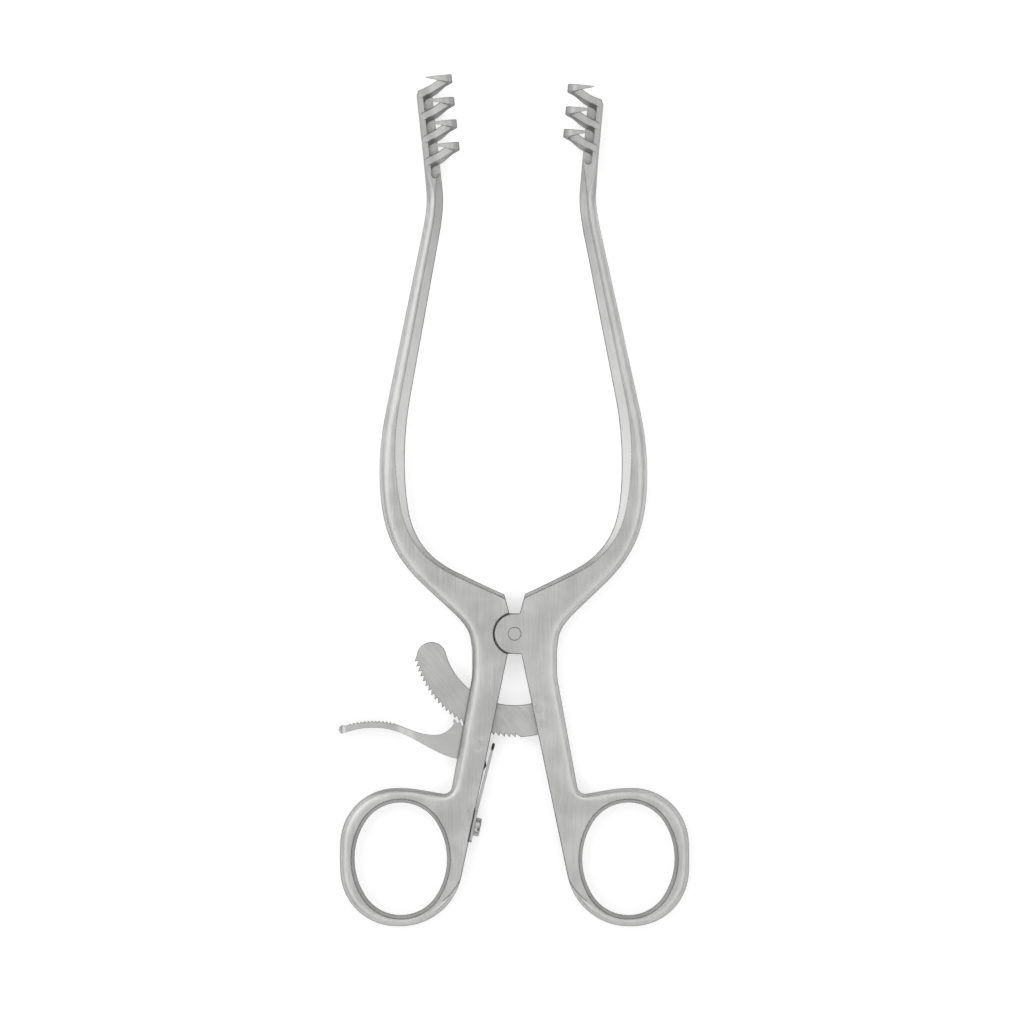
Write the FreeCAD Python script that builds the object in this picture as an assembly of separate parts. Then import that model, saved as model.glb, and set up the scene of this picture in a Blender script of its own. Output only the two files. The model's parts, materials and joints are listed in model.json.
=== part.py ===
import FreeCAD, Part
import math
import os

# Self retaining retractor with two hinged arms, a toothed bar and a sprung release lever.
# Millimetres. The instrument lies flat: +X to the right, +Y towards the blades,
# +Z towards the viewer. The pivot is on the Z axis and the back faces lie at z = 0.
# Arm outlines are written as (out, up): distance out from the middle, height above the pivot.

V = FreeCAD.Vector
LEFT = -1
RIGHT = 1

# Thicknesses, front to back
THICKNESS = 5.0
BLADE_THICKNESS = 3.6
MID = THICKNESS / 2

# Edges of the forging: full rounding outside, a flat facet inside, a ridge up the arm,
# and crisp edges at the blade
OUTER_ROUND = 1.7
FACET_WIDTH = 1.25
FACET_DEPTH = 0.7
ROUND_SOFTNESS = 0.5523
RIDGE_SOFTNESS = 0.15
RIDGE_DROP = 1.1
RIDGE_SHARE = 0.46
RIDGE_FROM = 12.0
RIDGE_FULL = 58.0
TAPER_FROM = 25.0
TAPER_FULL = 98.0
BLADE_EDGE = 0.3
BLADE_FROM = 104.0
BLADE_FULL = 109.0
BLADE_SHARE = 0.62


# Outer edge of an arm, from the blade down to the joint: corner and rounding radius
BLADE_TOP_OUT = (23.05, 126.75)
NECK_OUT = (20.25, 100.9)
KNEE_OUT = (32.5, 40.7)
ELBOW_OUT = (29.9, 19.3)
SHOULDER = (9.95, 0.8)
NECK_RADIUS = 37.0
KNEE_OUT_RADIUS = 67.0
ELBOW_OUT_RADIUS = 29.0
SHOULDER_RADIUS = 10.8

# Inner edge of an arm
BLADE_TOP_IN = (19.58, 128.7)
NECK_IN = (16.45, 100.3)
KNEE_IN = (26.8, 42.4)
ELBOW_IN = (23.6, 19.2)
GAP_CORNER = (2.37, 9.06)
KNEE_IN_RADIUS = 82.0
ELBOW_IN_RADIUS = 19.0
RIGHT_TOE_IN = 0.88
RIGHT_SHORTER = 2.45
JOINT_LINE = -4.0
SPLIT_OUT = 0.42
SPLIT_IN = 0.48
PAST_GAP = 6.5
PAST_GAP_RADIUS = 5.0
STATIONS_ARM = 15
STATIONS_JOINT = 5

# Shank and finger ring
SHANK_IN_TOP = 1.6
SHANK_SPLAY = 0.208
SHANK_OUT_KNEE = -9.9
SHANK_KNEE_RADIUS = 15.0
CRISP_WIDTH = 2.0
CRISP_FULL = -38.0
CRISP_END = -56.0
RING_OUT_SIDE = 40.9
RING_BULGE = 0.4
RING_BULGE_RADIUS = 60.0
RING_TOP = -36.2
RING_BOTTOM = -68.6
RING_RADIUS = 13.2
RING_INNER_RADIUS = 14.5
CROTCH = (15.06, -37.85)
CROTCH_RADIUS = 1.9
RING_SHOULDER = 24.6
RING_SHOULDER_RADIUS = 28.0
RING_WALL = 3.35
RING_WALL_BOTTOM = 2.55
HOLE_IN_SIDE = 15.85
HOLE_END_SHARE = 0.91
HOLE_BEVEL = 0.8

# Lap joint and its rivet
LOBE_RADIUS = 4.75
LOBE_WEB = 1.75
POCKET_CLEARANCE = 0.25
LAP_CLEARANCE = 0.02
GAP_FOOT = 1.2
RIVET_RADIUS = 1.1
RIVET_HEAD_RADIUS = 1.45
RIVET_HEAD_DEPTH = 0.6
PIVOT_CLEARANCE = 0.03

# Toothed bar, concentric with the pivot; angles in degrees from +X
BAR_THICKNESS = 1.6
BAR_INNER_RADIUS = 16.8
TOOTH_TIP_RADIUS = 24.3
TOOTH_DEPTH = 0.9
TOOTH_PITCH = 3.0
TOOTH_LEAN = 0.3
FIRST_TOOTH = 195.5
LAST_TOOTH = 273.5
BAR_END_ANGLE = 294.0
BAR_NOSE_INNER = 196.5
BAR_NOSE_APEX = 185.7
BAR_NOSE_OUTER = 192.0
BAR_NOSE_OFFSET = 0.3
BAR_RIVET_ANGLE = 288.5
BAR_RIVET_RADIUS = 0.8
BAR_RIVET_SHARES = (0.24, 0.76)
BAR_SLOT_FIT = 0.01
BAR_SLOT_LEAD = 3.0
BAR_SLOT_END = 0.05

# Slot through the left shank for the bar and the lever
SLOT_SIDE_CLEARANCE = 0.15
SLOT_TOP_CLEARANCE = 0.3
SLOT_BELOW_PIN = 7.7

# Release lever: its pin sits outside the bar's teeth, and its other points are taken from the pin
LEVER_PIN_OUTSIDE = 3.24
LEVER_PIN_ANGLE = 251.37
LEVER_PIN_RADIUS = 0.8
LEVER_PIN_CLEARANCE = 0.03
PAWL_SEAT_TURN = 5.0
PAWL_ENGAGE = 0.45
PAWL_FACE_CLEARANCE = 0.2
PAWL_RAMP_CLEARANCE = 0.12
PAWL_CREST_CLEARANCE = 0.15
PAWL_TEETH = 2
PAWL_ANGLE = 234.5
PAWL_HEEL_ANGLE = 247.0
PAD_WIDTH = 4.6
PAD_END = (-32.35, 3.15)
PAD_NECK = -19.7
HEAD_FROM = -13.7
LEVER_TOP = [(-31.0, 4.45), (-24.3, 5.5), (-19.7, 5.0), (-15.5, 3.5), (-11.3, 2.4),
             (-9.4, 2.35), (-7.8, 2.8), (-6.5, 3.7), (-5.4, 5.05)]
LEVER_BOTTOM = [(-31.5, 2.7), (-27.2, 3.85), (-22.7, 4.0), (-18.2, 2.95), (-13.8, 0.8), (-4.3, -3.3)]
TAIL_TOP = (1.9, -2.5)
TAIL_FOOT = (1.3, -6.3)
TAIL_SHARE = 0.68
TAIL_CLEARANCE = 0.06
GRIP_PITCH = 0.86
GRIP_COUNT = 12
GRIP_START = -29.4
GRIP_RADIUS = 0.36
GRIP_DEPTH = 0.17

# Leaf spring and its screw on the left shank's inner edge
SPRING_THICKNESS = 0.65
SPRING_WIDTH = 3.2
SPRING_FOOT_LENGTH = 7.0
SPRING_FOOT_END = -48.8
SPRING_TIP = (3.85, 0.1)
SPRING_SEAT = 0.01
SCREW_HEAD_RADIUS = 2.15
SCREW_HEAD_HEIGHT = 1.35
SCREW_RIM = 0.25
SCREW_RADIUS = 0.9
SCREW_LENGTH = 4.2
SCREW_HEIGHT = -45.1
SCREW_SLOT_WIDTH = 0.6
SCREW_SLOT_DEPTH = 0.6
SPRING_HOLE_CLEARANCE = 0.05

# Blade: a flat strip along the outer edge, a milled floor beside it, and the prongs
BLADE_CORNER_RADIUS = 1.3
STRIP_WIDTH = 1.5
FLOOR_DEPTH = 1.4
MILL_RADIUS = 0.8
MILL_RUN_OUT = 1.85
LEFT_PRONGS = 4
RIGHT_PRONGS = 3
PRONG_PITCH = 5.3
PRONG_FIRST = 0.35

# Prongs: each sweeps up from the strip, turns over and runs straight back to its tip.
# Slopes are the climb along the blade for each millimetre of travel across it.
PRONG_ROOT = 0.75
PRONG_SWEEP = 28.0
PRONG_SWEEP_RADIUS = 13.4
PRONG_TURN_RADIUS = 2.0
PRONG_END_HEADING = 186.0
PRONG_TIP_ACROSS = 2.54
PRONG_SLOPE = 0.43
PRONG_TURN_SLOPE = 0.25
PRONG_RETURN_SLOPE = 0.175
PRONG_WIDTH = 1.75
PRONG_TURN_WIDTH = 2.05
PRONG_THICKNESS = 1.7
PRONG_TURN_THICKNESS = 1.25
PRONG_FLARE = 1.1
PRONG_TIP = 0.14
PRONG_EASE = 0.22
SWEEP_STEPS = 3
TURN_STEPS = 6
RETURN_STEPS = 2


def plan(side, point, z=0.0):
    """A point written as (out, up), placed on its side of the instrument."""
    return V(side * point[0], point[1], z)


def rounded_path(corners):
    """Straight runs through the corners, each corner rounded by a tangent arc of its radius."""
    edges = []
    start = corners[0][0]
    for (before, _), (corner, radius), (after, _) in zip(corners, corners[1:], corners[2:]):
        back = (before - corner).normalize()
        ahead = (after - corner).normalize()
        half = back.getAngle(ahead) / 2
        reach = radius / math.tan(half)
        arc_start = corner + back * reach
        arc_end = corner + ahead * reach
        inward = (back + ahead).normalize()
        crest = corner + inward * (radius / math.sin(half) - radius)
        edges.append(Part.LineSegment(start, arc_start).toShape())
        edges.append(Part.Arc(arc_start, crest, arc_end).toShape())
        start = arc_end
    edges.append(Part.LineSegment(start, corners[-1][0]).toShape())
    return Part.Wire(edges)


def turned(point, side, degrees):
    """The point swung about the pivot towards the middle."""
    angle = math.radians(side * degrees)
    x = point.x * math.cos(angle) - point.y * math.sin(angle)
    y = point.x * math.sin(angle) + point.y * math.cos(angle)
    return V(x, y, point.z)


def share(value, low, high):
    """How far the value is from low to high, eased at both ends."""
    t = min(max((value - low) / (high - low), 0.0), 1.0)
    return t * t * (3 - 2 * t)


def mix(first, second, t):
    """A value part of the way from the first to the second."""
    return first + (second - first) * t


def bar_section(outer, inner, thick, outer_edge, inner_edge, softness):
    """Closed section across an arm; each edge is taken off by (across, down) from its corner."""
    across = (inner - outer).normalize()
    lift = V(0, 0, thick / 2)
    middle = V(0, 0, MID)
    edges = []
    for face in (1, -1):
        corner = outer + lift * face + middle
        side = corner - V(0, 0, outer_edge[1] * face)
        top = corner + across * outer_edge[0]
        if softness < ROUND_SOFTNESS:
            curve = Part.BezierCurve()
            curve.setPoles([side, side + (corner - side) * softness, top + (corner - top) * softness, top])
        else:
            crest = corner + (side + top - corner * 2) * (1 - math.sqrt(0.5))
            curve = Part.Arc(side, crest, top)
        far_corner = inner + lift * face + middle
        far_top = far_corner - across * inner_edge[0]
        far_side = far_corner - V(0, 0, inner_edge[1] * face)
        half = [curve.toShape(), line(top, far_top), line(far_top, far_side)]
        if face == 1:
            edges += half
            front_out, front_in = side, far_side
        else:
            edges.append(line(front_in, far_side))
            edges += [line(far_side, far_top), line(far_top, top), curve.toShape()]
            edges.append(line(side, front_out))
    return Part.Wire(edges)


def arm_corners(side):
    """Corners of an arm's outline on its own side, the right arm turned in and cut shorter."""
    toe = RIGHT_TOE_IN if side == RIGHT else 0.0
    shorter = RIGHT_SHORTER if side == RIGHT else 0.0

    def at(point):
        return turned(plan(side, point), side, toe)

    up = (at(BLADE_TOP_OUT) - at(NECK_OUT)).normalize()
    top_out = at(BLADE_TOP_OUT) - up * shorter
    top_in = at(BLADE_TOP_IN) - up * shorter
    return at, top_out, top_in, up


def arm_sections(side):
    """Sections along an arm, from the blade's top to the joint line; the first three bound the blade."""
    at, top_out, top_in, up = arm_corners(side)
    shoulder = at(SHOULDER)
    elbow = at(ELBOW_OUT)
    elbow_in = at(ELBOW_IN)
    gap_corner = at(GAP_CORNER)
    split_out = elbow + (shoulder - elbow) * SPLIT_OUT
    split_in = elbow_in + (gap_corner - elbow_in) * SPLIT_IN
    beyond = gap_corner + (gap_corner - elbow_in).normalize() * PAST_GAP
    end_out = V(side * SHOULDER[0], JOINT_LINE, 0)
    end_in = V(beyond.x, JOINT_LINE, 0)
    foot_out = top_out + (at(NECK_OUT) - top_out) * BLADE_SHARE
    foot_in = top_in + (at(NECK_IN) - top_in) * BLADE_SHARE
    outer_arm = rounded_path([(foot_out, 0), (at(NECK_OUT), NECK_RADIUS),
                              (at(KNEE_OUT), KNEE_OUT_RADIUS), (elbow, ELBOW_OUT_RADIUS), (split_out, 0)])
    inner_arm = rounded_path([(foot_in, 0), (at(NECK_IN), NECK_RADIUS),
                              (at(KNEE_IN), KNEE_IN_RADIUS), (elbow_in, ELBOW_IN_RADIUS), (split_in, 0)])
    outer_joint = rounded_path([(split_out, 0), (shoulder, SHOULDER_RADIUS), (end_out, 0)])
    inner_joint = rounded_path([(split_in, 0), (beyond, PAST_GAP_RADIUS), (end_in, 0)])
    pairs = [(top_out, top_in)]
    pairs += list(zip(outer_arm.discretize(Number=STATIONS_ARM), inner_arm.discretize(Number=STATIONS_ARM)))
    joint_pairs = zip(outer_joint.discretize(Number=STATIONS_JOINT),
                      inner_joint.discretize(Number=STATIONS_JOINT))
    pairs += list(joint_pairs)[1:]
    sections = []
    for outer, inner in pairs:
        height = (outer.y + inner.y) / 2
        width = (inner - outer).Length
        ridge = share(height, RIDGE_FROM, RIDGE_FULL)
        blade = share(height, BLADE_FROM, BLADE_FULL)
        thick = mix(THICKNESS, BLADE_THICKNESS, share(height, TAPER_FROM, TAPER_FULL))
        ridge_width = RIDGE_SHARE * width
        outer_edge = (mix(mix(OUTER_ROUND, ridge_width, ridge), BLADE_EDGE, blade),
                      mix(mix(OUTER_ROUND, RIDGE_DROP, ridge), BLADE_EDGE, blade))
        inner_edge = (mix(mix(FACET_WIDTH, ridge_width, ridge), BLADE_EDGE, blade),
                      mix(mix(FACET_DEPTH, RIDGE_DROP, ridge), BLADE_EDGE, blade))
        softness = mix(ROUND_SOFTNESS, RIDGE_SOFTNESS, ridge)
        sections.append(bar_section(outer, inner, thick, outer_edge, inner_edge, softness))
    return sections


def edges_on_faces(solid, wanted):
    """Edges lying in the front and back faces for which the test holds."""
    picked = []
    for edge in solid.Edges:
        flat = abs(edge.BoundBox.ZLength) < 1e-6
        if flat and wanted(edge.BoundBox):
            picked.append(edge)
    return picked


def shank_inner_edge(height):
    """Distance out from the middle of a shank's straight inner edge, at a height."""
    return SHANK_IN_TOP + SHANK_SPLAY * (-LOBE_RADIUS - height)


def shank_and_ring(side):
    """Shank with its finger ring: rounded all round, then crisp again along the inner edge."""
    ring_middle = (RING_TOP + RING_BOTTOM) / 2
    corners = [
        ((shank_inner_edge(JOINT_LINE), JOINT_LINE), 0),
        ((shank_inner_edge(RING_BOTTOM), RING_BOTTOM), RING_INNER_RADIUS),
        ((RING_OUT_SIDE - RING_BULGE, RING_BOTTOM), RING_RADIUS),
        ((RING_OUT_SIDE + RING_BULGE / 4, ring_middle), RING_BULGE_RADIUS),
        ((RING_OUT_SIDE - RING_BULGE, RING_TOP), RING_RADIUS),
        ((RING_SHOULDER, RING_TOP), RING_SHOULDER_RADIUS),
        (CROTCH, CROTCH_RADIUS),
        ((SHOULDER[0], SHANK_OUT_KNEE), SHANK_KNEE_RADIUS),
        ((SHOULDER[0], JOINT_LINE), 0),
    ]
    outline = rounded_path([(plan(side, point), radius) for point, radius in corners])
    closing = line(outline.Vertexes[-1].Point, outline.Vertexes[0].Point)
    body = Part.Face(Part.Wire(outline.Edges + [closing])).extrude(V(0, 0, THICKNESS))

    def off_joint_line(box):
        return box.YMin < JOINT_LINE - 1e-6

    body = body.makeFillet(OUTER_ROUND, edges_on_faces(body, off_joint_line))
    crisp = prism([
        (side * shank_inner_edge(JOINT_LINE), JOINT_LINE),
        (side * (shank_inner_edge(JOINT_LINE) + CRISP_WIDTH), JOINT_LINE),
        (side * (shank_inner_edge(CRISP_FULL) + CRISP_WIDTH), CRISP_FULL),
        (side * shank_inner_edge(CRISP_END), CRISP_END),
    ], 0, THICKNESS)
    hole = finger_hole(side)
    body = body.fuse(crisp).cut(hole).removeSplitter()
    around = hole.BoundBox
    around.enlarge(0.01)

    def on_hole(box):
        return around.XMin < box.XMin and box.XMax < around.XMax and around.YMin < box.YMin and box.YMax < around.YMax
    return body.makeChamfer(HOLE_BEVEL, edges_on_faces(body, on_hole))


def finger_hole(side):
    """Tall oval opening of the finger ring, drawn with four tangent arcs."""
    half_width = (RING_OUT_SIDE - RING_WALL - HOLE_IN_SIDE) / 2
    half_height = (RING_TOP - RING_BOTTOM - RING_WALL - RING_WALL_BOTTOM) / 2
    x = side * (HOLE_IN_SIDE + half_width)
    y = RING_BOTTOM + RING_WALL_BOTTOM + half_height
    end_radius = HOLE_END_SHARE * half_width
    end_offset = half_height - end_radius
    side_radius = (half_width ** 2 + end_offset ** 2 - end_radius ** 2) / (2 * (half_width - end_radius))
    side_offset = side_radius - half_width
    slope = math.atan2(end_offset, side_offset)
    right_top = V(x - side_offset + side_radius * math.cos(slope), y + side_radius * math.sin(slope), 0)
    right_low = V(right_top.x, 2 * y - right_top.y, 0)
    left_low = V(2 * x - right_top.x, right_low.y, 0)
    left_top = V(left_low.x, right_top.y, 0)
    edges = [
        Part.Arc(left_top, V(x, y + half_height, 0), right_top).toShape(),
        Part.Arc(right_top, V(x + half_width, y, 0), right_low).toShape(),
        Part.Arc(right_low, V(x, y - half_height, 0), left_low).toShape(),
        Part.Arc(left_low, V(x - half_width, y, 0), left_top).toShape(),
    ]
    return Part.Face(Part.Wire(edges)).extrude(V(0, 0, THICKNESS))


def prism(points, low, high):
    """Straight-sided solid over a closed outline of plan points, from z low to z high."""
    corners = [V(x, y, low) for x, y in points]
    return Part.Face(Part.makePolygon(corners + [corners[0]])).extrude(V(0, 0, high - low))


def joint_gap(side):
    """Wedge of space between the two arms above the pivot, taken off the arm's inner end."""
    slope = (GAP_CORNER[0] - GAP_FOOT) / (GAP_CORNER[1] - LOBE_RADIUS)
    far = ELBOW_OUT[0]
    low = -LOBE_RADIUS - LOBE_WEB
    points = [
        (side * SHANK_IN_TOP, low),
        (side * SHANK_IN_TOP, -LOBE_RADIUS),
        (side * GAP_FOOT, LOBE_RADIUS),
        (side * (GAP_CORNER[0] + slope * (far - GAP_CORNER[1])), far),
        (-side * far, far),
        (-side * far, low),
    ]
    return prism(points, -THICKNESS, 2 * THICKNESS)


def rivet_solid(grow):
    """Joint rivet with a countersunk head at each face, grown by a clearance."""
    shank = RIVET_RADIUS + grow
    head = RIVET_HEAD_RADIUS + grow
    profile = [V(0, 0, 0), V(head, 0, 0), V(shank, 0, RIVET_HEAD_DEPTH),
               V(shank, 0, THICKNESS - RIVET_HEAD_DEPTH), V(head, 0, THICKNESS), V(0, 0, THICKNESS)]
    face = Part.Face(Part.makePolygon(profile + [profile[0]]))
    return face.revolve(V(0, 0, 0), V(0, 0, 1), 360)


def lap_joint(arm, side):
    """Half the thickness of each arm crosses the pivot as a round lobe in the other's pocket."""
    lobe_low = 0.0 if side == LEFT else MID + LAP_CLEARANCE
    pocket_low = MID - LAP_CLEARANCE if side == LEFT else -MID
    lobe_height = MID - LAP_CLEARANCE
    pocket = Part.makeCylinder(LOBE_RADIUS + POCKET_CLEARANCE, THICKNESS + LAP_CLEARANCE, V(0, 0, pocket_low))
    lobe = Part.makeCylinder(LOBE_RADIUS, lobe_height, V(0, 0, lobe_low))
    reach = side * (LOBE_RADIUS + LOBE_WEB)
    band = prism([(0, -LOBE_RADIUS), (reach, -LOBE_RADIUS), (reach, LOBE_RADIUS), (0, LOBE_RADIUS)],
                 lobe_low, lobe_low + lobe_height)
    arm = arm.cut(joint_gap(side)).cut(pocket)
    return arm.fuse([lobe, band]).cut(rivet_solid(PIVOT_CLEARANCE))


def blade_frame(side):
    """The blade's outer top corner, with its directions across (inwards) and up."""
    at, top_out, top_in, up = arm_corners(side)
    across = up.cross(V(0, 0, 1)) * -side
    return top_out, across, up


def on_blade(side, places):
    """Plan points of places given as (across, up) from the blade's outer top corner."""
    corner, across, up = blade_frame(side)
    points = [corner + across * a + up * u for a, u in places]
    return [(point.x, point.y) for point in points]


def blade_floor(side, count):
    """Channel milled beside the strip, with the mill's round run-out below the last prong."""
    run_out = (count - 1) * PRONG_PITCH + MILL_RUN_OUT + PRONG_WIDTH
    beyond = PRONG_TIP_ACROSS * 2
    low = MID + BLADE_THICKNESS / 2 - FLOOR_DEPTH
    high = low + THICKNESS
    channel = prism(on_blade(side, [(STRIP_WIDTH, -run_out), (beyond, -run_out), (beyond, beyond),
                                    (STRIP_WIDTH, beyond)]), low, high)
    x, y = on_blade(side, [(STRIP_WIDTH + MILL_RADIUS, -run_out)])[0]
    return channel.fuse(Part.makeCylinder(MILL_RADIUS, high - low, V(x, y, low)))


def blade_corner(side):
    """What the rounding of the blade's outer top corner takes away."""
    corner, across, up = blade_frame(side)
    at, top_out, top_in, up = arm_corners(side)
    top = (top_in - top_out).normalize()
    half = top.getAngle(-up) / 2
    reach = BLADE_CORNER_RADIUS / math.tan(half)
    low = corner - up * reach
    high = corner + top * reach
    crest = corner + (top - up).normalize() * (BLADE_CORNER_RADIUS / math.sin(half) - BLADE_CORNER_RADIUS)
    outside = corner - (top - up).normalize() * reach
    edges = [Part.Arc(low, crest, high).toShape(), line(high, outside), line(outside, low)]
    return Part.Face(Part.Wire(edges)).extrude(V(0, 0, THICKNESS))


def prong_section(centre, heading, up, across, width, thick, flare):
    """Section across a prong with eased corners; the flare widens its underside down the blade."""
    wide = (up - heading * up.dot(heading)).normalize()
    normal = heading.cross(wide) * (1 if across.cross(up).z > 0 else -1)
    half_w = width / 2
    half_t = thick / 2
    ease = min(half_w, half_t) * PRONG_EASE
    places = [(half_w, half_t - ease), (half_w - ease, half_t), (ease - half_w, half_t), (-half_w, half_t - ease),
              (-half_w - flare, ease - half_t), (ease - half_w - flare, -half_t), (half_w - ease, -half_t),
              (half_w, ease - half_t)]
    points = [centre + wide * a + normal * b for a, b in places]
    return Part.makePolygon(points + [points[0]])


def prong_path():
    """Centre line of a prong as (across, z) with its heading in degrees at each point."""
    sweep = math.radians(PRONG_SWEEP)
    end = math.radians(PRONG_END_HEADING)
    low = MID + (BLADE_THICKNESS - PRONG_THICKNESS) / 2
    path = []
    for index in range(SWEEP_STEPS):
        angle = sweep * index / SWEEP_STEPS
        path.append((PRONG_ROOT + PRONG_SWEEP_RADIUS * math.sin(angle),
                     low + PRONG_SWEEP_RADIUS * (1 - math.cos(angle)), math.degrees(angle)))
    tighter = PRONG_SWEEP_RADIUS - PRONG_TURN_RADIUS
    centre = (PRONG_ROOT + tighter * math.sin(sweep), low + PRONG_SWEEP_RADIUS - tighter * math.cos(sweep))
    for index in range(TURN_STEPS + 1):
        angle = mix(sweep, end, index / TURN_STEPS)
        path.append((centre[0] + PRONG_TURN_RADIUS * math.sin(angle),
                     centre[1] - PRONG_TURN_RADIUS * math.cos(angle), math.degrees(angle)))
    last = path[-1]
    for index in range(RETURN_STEPS):
        across = mix(last[0], PRONG_TIP_ACROSS, (index + 1) / RETURN_STEPS)
        path.append((across, last[1] + (across - last[0]) * math.tan(end), PRONG_END_HEADING))
    return path


def prong(side, base):
    """One hook: a strip that rises inwards from the blade, turns over and tapers to a sharp point."""
    corner, across, up = blade_frame(side)
    path = prong_path()
    extreme = max(point[0] for point in path)
    climb = PRONG_SLOPE * (PRONG_ROOT - STRIP_WIDTH) - base
    centres = []
    sizes = []
    before = path[0][0]
    for reach, z, heading in path:
        slope = PRONG_SLOPE if heading <= PRONG_SWEEP else PRONG_TURN_SLOPE
        slope = PRONG_RETURN_SLOPE if heading > 90 else slope
        climb += slope * abs(reach - before)
        before = reach
        centres.append(corner + across * reach + up * climb + V(0, 0, z))
        out = (reach - PRONG_ROOT) / (extreme - PRONG_ROOT)
        back = (reach - PRONG_TIP_ACROSS) / (extreme - PRONG_TIP_ACROSS)
        if heading <= 90:
            sizes.append((mix(PRONG_WIDTH, PRONG_TURN_WIDTH, out),
                          mix(PRONG_THICKNESS, PRONG_TURN_THICKNESS, out), PRONG_FLARE * (1 - out)))
        else:
            sizes.append((mix(PRONG_TIP, PRONG_TURN_WIDTH, back), mix(PRONG_TIP, PRONG_TURN_THICKNESS, back), 0.0))
    sections = []
    for index, centre in enumerate(centres):
        start = centres[max(index - 1, 0)]
        end = centres[min(index + 1, len(centres) - 1)]
        heading = (end - start).normalize()
        sections.append(prong_section(centre, heading, up, across, *sizes[index]))
    return Part.makeLoft(sections, True, False)


def forged_arm(side):
    """One arm in one piece: ring, shank, joint half, curved arm and pronged blade."""
    count = LEFT_PRONGS if side == LEFT else RIGHT_PRONGS
    sections = arm_sections(side)
    blade = Part.makeLoft(sections[:3], True, True)
    arm = Part.makeLoft(sections[2:], True, False).fuse(blade)
    arm = arm.cut([blade_floor(side, count), blade_corner(side)])
    arm = arm.fuse(shank_and_ring(side))
    arm = lap_joint(arm, side)
    for index in range(count):
        arm = arm.fuse(prong(side, PRONG_FIRST + index * PRONG_PITCH))
    return arm


def polar(radius, degrees, z=0.0):
    angle = math.radians(degrees)
    return V(radius * math.cos(angle), radius * math.sin(angle), z)


def slab(outline_edges, thick):
    """Flat piece centred on the middle plane."""
    return Part.Face(Part.Wire(outline_edges)).extrude(V(0, 0, thick)).translate(V(0, 0, MID - thick / 2))


def line(a, b):
    return Part.LineSegment(a, b).toShape()


def tooth_count():
    return int((LAST_TOOTH - FIRST_TOOTH) / TOOTH_PITCH + 0.001)


def ratchet_bar():
    """Curved bar with saw teeth: ramps towards the free end, steep faces towards the fixed end."""
    root = TOOTH_TIP_RADIUS - TOOTH_DEPTH
    points = [polar(root, BAR_NOSE_OUTER)]
    for index in range(tooth_count()):
        tip_angle = FIRST_TOOTH + index * TOOTH_PITCH
        points.append(polar(TOOTH_TIP_RADIUS, tip_angle))
        points.append(polar(root, tip_angle + TOOTH_LEAN))
    last_angle = FIRST_TOOTH + tooth_count() * TOOTH_PITCH
    points.append(polar(TOOTH_TIP_RADIUS, last_angle))
    edges = [line(a, b) for a, b in zip(points, points[1:])]
    middle = (last_angle + BAR_END_ANGLE) / 2
    outer_end = polar(TOOTH_TIP_RADIUS, BAR_END_ANGLE)
    inner_end = polar(BAR_INNER_RADIUS, BAR_END_ANGLE)
    inner_start = polar(BAR_INNER_RADIUS, BAR_NOSE_INNER)
    edges.append(Part.Arc(points[-1], polar(TOOTH_TIP_RADIUS, middle), outer_end).toShape())
    edges.append(line(outer_end, inner_end))
    inner_middle = polar(BAR_INNER_RADIUS, (BAR_END_ANGLE + BAR_NOSE_INNER) / 2)
    edges.append(Part.Arc(inner_end, inner_middle, inner_start).toShape())
    apex = polar((BAR_INNER_RADIUS + root) / 2 - BAR_NOSE_OFFSET, BAR_NOSE_APEX)
    edges.append(Part.Arc(inner_start, apex, points[0]).toShape())
    bar = slab(edges, BAR_THICKNESS)
    for place in bar_rivet_places():
        bar = bar.cut(Part.makeCylinder(BAR_RIVET_RADIUS, THICKNESS, place))
    return bar


def bar_rivet_places():
    """Centres of the two flush rivets that hold the bar in the right shank."""
    return [polar(mix(BAR_INNER_RADIUS, TOOTH_TIP_RADIUS, t), BAR_RIVET_ANGLE) for t in BAR_RIVET_SHARES]


def bar_pocket():
    """Slot cut into the right shank from its inner edge, which the end of the bar fills."""
    low = BAR_INNER_RADIUS - BAR_SLOT_FIT
    high = TOOTH_TIP_RADIUS + BAR_SLOT_FIT
    start = LAST_TOOTH - BAR_SLOT_LEAD
    end = BAR_END_ANGLE + BAR_SLOT_END
    middle = (start + end) / 2
    edges = [
        Part.Arc(polar(low, start), polar(low, middle), polar(low, end)).toShape(),
        line(polar(low, end), polar(high, end)),
        Part.Arc(polar(high, end), polar(high, middle), polar(high, start)).toShape(),
        line(polar(high, start), polar(low, start)),
    ]
    return slab(edges, BAR_THICKNESS + 2 * BAR_SLOT_FIT)


def lever_pin_place():
    return polar(TOOTH_TIP_RADIUS + LEVER_PIN_OUTSIDE, LEVER_PIN_ANGLE)


def from_pin(point):
    """A plan point written from the lever's pin."""
    return lever_pin_place() + V(point[0], point[1], 0)


def lever_slot():
    """Slot right through the left shank, from side to side, for the bar and the lever's head."""
    height = BAR_THICKNESS + 2 * SLOT_SIDE_CLEARANCE
    low = MID - height / 2
    bottom = lever_pin_place().y - SLOT_BELOW_PIN
    far = -2 * SHOULDER[0]
    block = prism([(far, bottom), (0, bottom), (0, -LOBE_RADIUS), (far, -LOBE_RADIUS)], low, low + height)
    keep = Part.makeCylinder(BAR_INNER_RADIUS - SLOT_TOP_CLEARANCE, THICKNESS)
    return block.cut(keep)


def lever_to_rest(point):
    """Turns a point of the seated pawl back to where the lever rests, clear of the teeth."""
    angle = math.radians(PAWL_SEAT_TURN)
    pin = lever_pin_place()
    arm = point - pin
    x = arm.x * math.cos(angle) - arm.y * math.sin(angle)
    y = arm.x * math.sin(angle) + arm.y * math.cos(angle)
    return pin + V(x, y, 0)


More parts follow.
